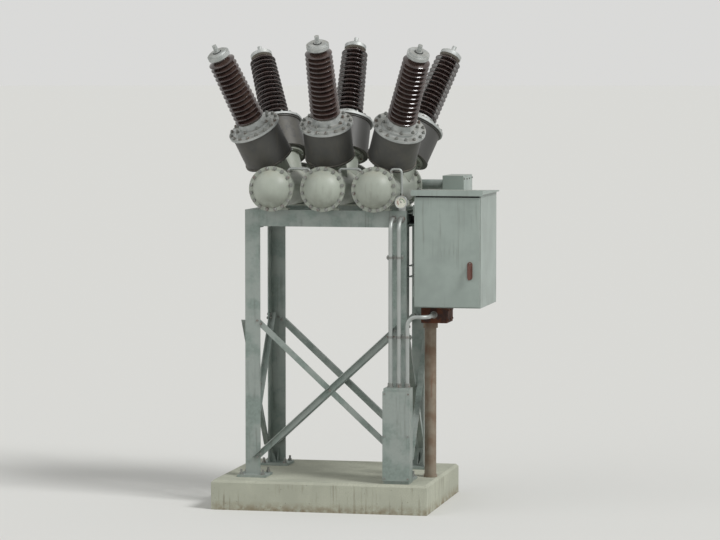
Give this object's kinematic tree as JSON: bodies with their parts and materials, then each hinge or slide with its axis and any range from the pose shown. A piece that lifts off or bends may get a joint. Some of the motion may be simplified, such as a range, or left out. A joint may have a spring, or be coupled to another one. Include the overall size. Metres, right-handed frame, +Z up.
{
  "type": "dead-tank circuit breaker",
  "caption": "Three-pole dead-tank gas circuit breaker: tanks with splayed ribbed bushings on a braced steel frame and concrete plinth, with a side cabinet whose door opens.",
  "frame": {"origin": "centre of the plinth's underside, which rests on the ground", "axes": "+Z up, the front with the domed tank ends faces -Y, the cabinet hangs on the +X end"},
  "size_m": [2.2879, 1.6782, 3.9845],
  "materials": {
    "concrete": "rough cast concrete",
    "galvanized_steel": "dull weathered zinc",
    "tank_paint": "pale grey paint, weathered",
    "transformer_paint": "dark brown-grey paint, weathered",
    "brown_porcelain": "glossy brown glaze",
    "cast_aluminium": "dull cast surface",
    "pipe_metal": "drawn, slightly dull",
    "gauge_metal": "satin",
    "cabinet_paint": "light grey paint, weathered",
    "handle_paint": "faded red-brown paint",
    "rusty_steel": "rusty, matt",
    "riser_steel": "weathered brown-grey",
    "conduit_metal": "dull galvanized conduit"
  },
  "bodies": {
    "breaker": {"plinth": "concrete", "leg_front_left": "galvanized_steel", "leg_front_right": "galvanized_steel", "leg_rear_left": "galvanized_steel", "leg_rear_right": "galvanized_steel", "top_frame": "galvanized_steel", "long_bracing": "galvanized_steel", "side_bracing": "galvanized_steel", "tank_left": "tank_paint", "tank_middle": "tank_paint", "tank_right": "tank_paint", "tank_cover_left": "tank_paint", "tank_cover_middle": "tank_paint", "tank_cover_right": "tank_paint", "crank_housing_left": "tank_paint", "crank_housing_middle": "tank_paint", "crank_housing_right": "tank_paint", "linkage_tube": "galvanized_steel", "drive_housing": "cabinet_paint", "transformer_front_left": "transformer_paint", "transformer_front_middle": "transformer_paint", "transformer_front_right": "transformer_paint", "transformer_rear_left": "transformer_paint", "transformer_rear_middle": "transformer_paint", "transformer_rear_right": "transformer_paint", "bushing_bases": "cast_aluminium", "bushing_front_left": "brown_porcelain", "bushing_front_middle": "brown_porcelain", "bushing_front_right": "brown_porcelain", "bushing_rear_left": "brown_porcelain", "bushing_rear_middle": "brown_porcelain", "bushing_rear_right": "brown_porcelain", "terminals": "cast_aluminium", "gas_pipe": "pipe_metal", "density_gauge": "gauge_metal", "cabinet_shell": "cabinet_paint", "cabinet_roof": "cabinet_paint", "cabinet_bracket": "galvanized_steel", "gland_box": "rusty_steel", "cable_riser": "riser_steel", "conduits": "conduit_metal", "conduit_clips": "galvanized_steel", "conduit_box": "galvanized_steel"},
    "door": {"cabinet_door": "cabinet_paint", "door_handle": "handle_paint"}
  },
  "joints": [
    {"name": "cabinet_door_hinge", "type": "hinge", "parent": "breaker", "child": "door", "pos_m": [0.756, -0.46009, 2.185], "axis": [0, 0, -1], "range_deg": [0, 110]}
  ]
}
